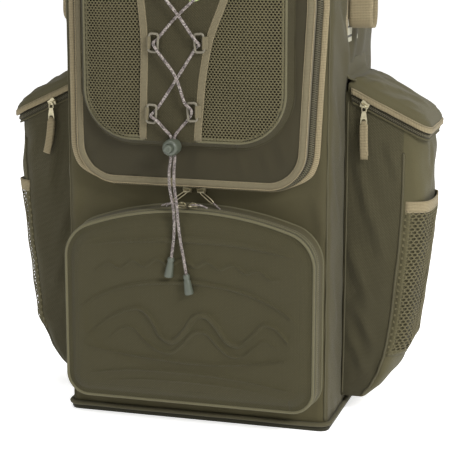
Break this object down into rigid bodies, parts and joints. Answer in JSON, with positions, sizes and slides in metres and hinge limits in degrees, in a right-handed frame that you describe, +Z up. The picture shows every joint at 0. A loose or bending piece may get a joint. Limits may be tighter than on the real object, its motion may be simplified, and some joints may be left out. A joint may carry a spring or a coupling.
{
  "type": "tackle backpack",
  "caption": "Tall fabric tackle backpack with a zipped front flap, laced mesh pocket, moulded lower pocket, lidded side pockets, top lid, shoulder straps and a hip belt.",
  "frame": {"origin": "on the floor, under the middle of the base panel", "axes": "+Z up, -Y out of the front flap, +X to the right of someone facing the front"},
  "size_m": [0.5506, 0.3774, 0.6645],
  "materials": {
    "body_fabric": "ballistic-weave polyester, olive",
    "base_fabric": "coated hard-wearing fabric",
    "flap_fabric": "diagonal-weave polyester, olive",
    "padding": "foam padding in woven fabric",
    "piping": "corded fabric piping",
    "frame_plastic": "stiff sheet",
    "dark_webbing": "flat nylon webbing",
    "dark_plastic": "moulded acetal",
    "tan_webbing": "ribbed grosgrain webbing",
    "binding_tape": "ribbed grosgrain tape",
    "zip_coil": "nylon coil on woven tape",
    "zip_metal": "pale antique brass",
    "mesh": "open knitted mesh",
    "badge_face": "soft moulded badge",
    "loop_plastic": "moulded plastic loops",
    "elastic_cord": "flecked elastic cord",
    "lock_plastic": "moulded plastic",
    "moulded_face": "foam-backed fabric, heat moulded",
    "label_tape": "woven label tape"
  },
  "bodies": {
    "bag": {"main_bag": "body_fabric", "base_panel": "base_fabric", "base_piping": "piping", "frame_sheet": "frame_plastic", "back_pads": "padding", "shoulder_strap_left": "padding", "shoulder_strap_right": "padding", "strap_webbings": "dark_webbing", "strap_buckles": "dark_plastic", "haul_handle": "tan_webbing", "top_zip": "zip_coil", "flap_zip": "zip_coil", "shell_gusset": "body_fabric", "shell_zip": "zip_coil", "side_pocket_left": "body_fabric", "side_pocket_right": "body_fabric", "side_zips": "zip_coil", "side_meshes": "mesh", "side_loops": "tan_webbing", "side_label": "label_tape"},
    "lid": {"top_lid": "flap_fabric"},
    "lid_slider": {"top_slider": "zip_metal"},
    "flap": {"front_flap": "flap_fabric", "flap_binding": "binding_tape", "mesh_panels": "mesh", "oval_gusset": "body_fabric", "centre_strip": "flap_fabric", "badge": "badge_face", "lacing_loops": "loop_plastic", "lacing_cord": "elastic_cord", "lock_body": "lock_plastic", "cord_end_left": "elastic_cord", "cord_end_right": "elastic_cord", "stopper_left": "lock_plastic", "stopper_right": "lock_plastic"},
    "lock_button": {"lock_plunger": "lock_plastic"},
    "door": {"shell_door": "moulded_face"},
    "hip_left": {"hip_wing_left": "padding", "hip_webbing_left": "dark_webbing", "hip_buckle_male": "dark_plastic"},
    "hip_right": {"hip_wing_right": "padding", "hip_webbing_right": "dark_webbing", "hip_buckle_female": "dark_plastic"},
    "flap_zip_left": {"flap_slider_left": "zip_metal"},
    "flap_tab_left": {"flap_pull_left": "zip_metal"},
    "shell_zip_left": {"shell_slider_left": "zip_metal"},
    "shell_tab_left": {"shell_pull_left": "zip_metal"},
    "pocket_lid_left": {"side_lid_left": "flap_fabric"},
    "pocket_zip_left": {"side_slider_left": "zip_metal"},
    "pocket_tab_left": {"side_tab_left": "zip_metal", "side_puller_left": "tan_webbing"},
    "flap_zip_right": {"flap_slider_right": "zip_metal"},
    "flap_tab_right": {"flap_pull_right": "zip_metal"},
    "shell_zip_right": {"shell_slider_right": "zip_metal"},
    "shell_tab_right": {"shell_pull_right": "zip_metal"},
    "pocket_lid_right": {"side_lid_right": "flap_fabric"},
    "pocket_zip_right": {"side_slider_right": "zip_metal"},
    "pocket_tab_right": {"side_tab_right": "zip_metal", "side_puller_right": "tan_webbing"}
  },
  "joints": [
    {"name": "lid_open", "type": "hinge", "parent": "bag", "child": "lid", "pos_m": [0, 0.125, 0.643], "axis": [-1, 0, 0], "range_deg": [0, 110]},
    {"name": "lid_slide", "type": "slide", "parent": "bag", "child": "lid_slider", "axis": [1, 0, 0], "range_m": [-0.12, 0.12]},
    {"name": "flap_open", "type": "hinge", "parent": "bag", "child": "flap", "pos_m": [0, -0.1284, 0.606], "axis": [-1, 0, 0], "range_deg": [0, 75]},
    {"name": "lock_press", "type": "slide", "parent": "flap", "child": "lock_button", "axis": [0, 1, 0], "range_m": [0, 0.004], "stiffness_N_per_m": 600, "springref_m": -0.001},
    {"name": "door_open", "type": "hinge", "parent": "bag", "child": "door", "pos_m": [0, -0.147, 0.0335], "axis": [1, 0, 0], "range_deg": [0, 88], "deforming": ["cord_end_left", "cord_end_right", "stopper_left", "stopper_right"]},
    {"name": "flap_slide_left", "type": "slide", "parent": "bag", "child": "flap_zip_left", "axis": [1, 0, 0], "range_m": [-0.085, 0]},
    {"name": "flap_pull_left", "type": "hinge", "parent": "flap_zip_left", "child": "flap_tab_left", "pos_m": [-0.009, -0.1312, 0.296], "axis": [-0.6, 0, 0.8], "range_deg": [0, 80]},
    {"name": "shell_slide_left", "type": "hinge", "parent": "bag", "child": "shell_zip_left", "pos_m": [0.005, -0.145, -0.11278], "axis": [0, 1, 0], "range_deg": [-10, 0]},
    {"name": "shell_pull_left", "type": "hinge", "parent": "shell_zip_left", "child": "shell_tab_left", "pos_m": [-0.01, -0.146, 0.2822], "axis": [-1, 0, 0], "range_deg": [0, 35]},
    {"name": "pocket_open_left", "type": "hinge", "parent": "bag", "child": "pocket_lid_left", "pos_m": [-0.1715, 0, 0.425], "axis": [0, 1, 0], "range_deg": [0, 78]},
    {"name": "pocket_slide_left", "type": "slide", "parent": "bag", "child": "pocket_zip_left", "axis": [-0.9014, 0, -0.433], "range_m": [-0.025, 0.022]},
    {"name": "pocket_pull_left", "type": "hinge", "parent": "pocket_zip_left", "child": "pocket_tab_left", "pos_m": [-0.2183, -0.0492, 0.38198], "axis": [-1, 0, 0], "range_deg": [0, 85]},
    {"name": "hip_swing_left", "type": "hinge", "parent": "bag", "child": "hip_left", "pos_m": [-0.158, 0.1304, 0.12], "axis": [0, 0, 1], "range_deg": [0, 100]},
    {"name": "flap_slide_right", "type": "slide", "parent": "bag", "child": "flap_zip_right", "axis": [1, 0, 0], "range_m": [0, 0.085]},
    {"name": "flap_pull_right", "type": "hinge", "parent": "flap_zip_right", "child": "flap_tab_right", "pos_m": [0.009, -0.1312, 0.296], "axis": [-0.6, 0, -0.8], "range_deg": [0, 80]},
    {"name": "shell_slide_right", "type": "hinge", "parent": "bag", "child": "shell_zip_right", "pos_m": [0.005, -0.145, -0.11278], "axis": [0, 1, 0], "range_deg": [0, 10]},
    {"name": "shell_pull_right", "type": "hinge", "parent": "shell_zip_right", "child": "shell_tab_right", "pos_m": [0.004, -0.146, 0.2822], "axis": [-1, 0, 0], "range_deg": [0, 35]},
    {"name": "pocket_open_right", "type": "hinge", "parent": "bag", "child": "pocket_lid_right", "pos_m": [0.1715, 0, 0.425], "axis": [0, -1, 0], "range_deg": [0, 78]},
    {"name": "pocket_slide_right", "type": "slide", "parent": "bag", "child": "pocket_zip_right", "axis": [0.9014, 0, -0.433], "range_m": [0, 0.045]},
    {"name": "pocket_pull_right", "type": "hinge", "parent": "pocket_zip_right", "child": "pocket_tab_right", "pos_m": [0.1933, -0.0492, 0.39399], "axis": [-1, 0, 0], "range_deg": [0, 85]},
    {"name": "hip_swing_right", "type": "hinge", "parent": "bag", "child": "hip_right", "pos_m": [0.158, 0.1304, 0.12], "axis": [0, 0, -1], "range_deg": [0, 100]}
  ]
}
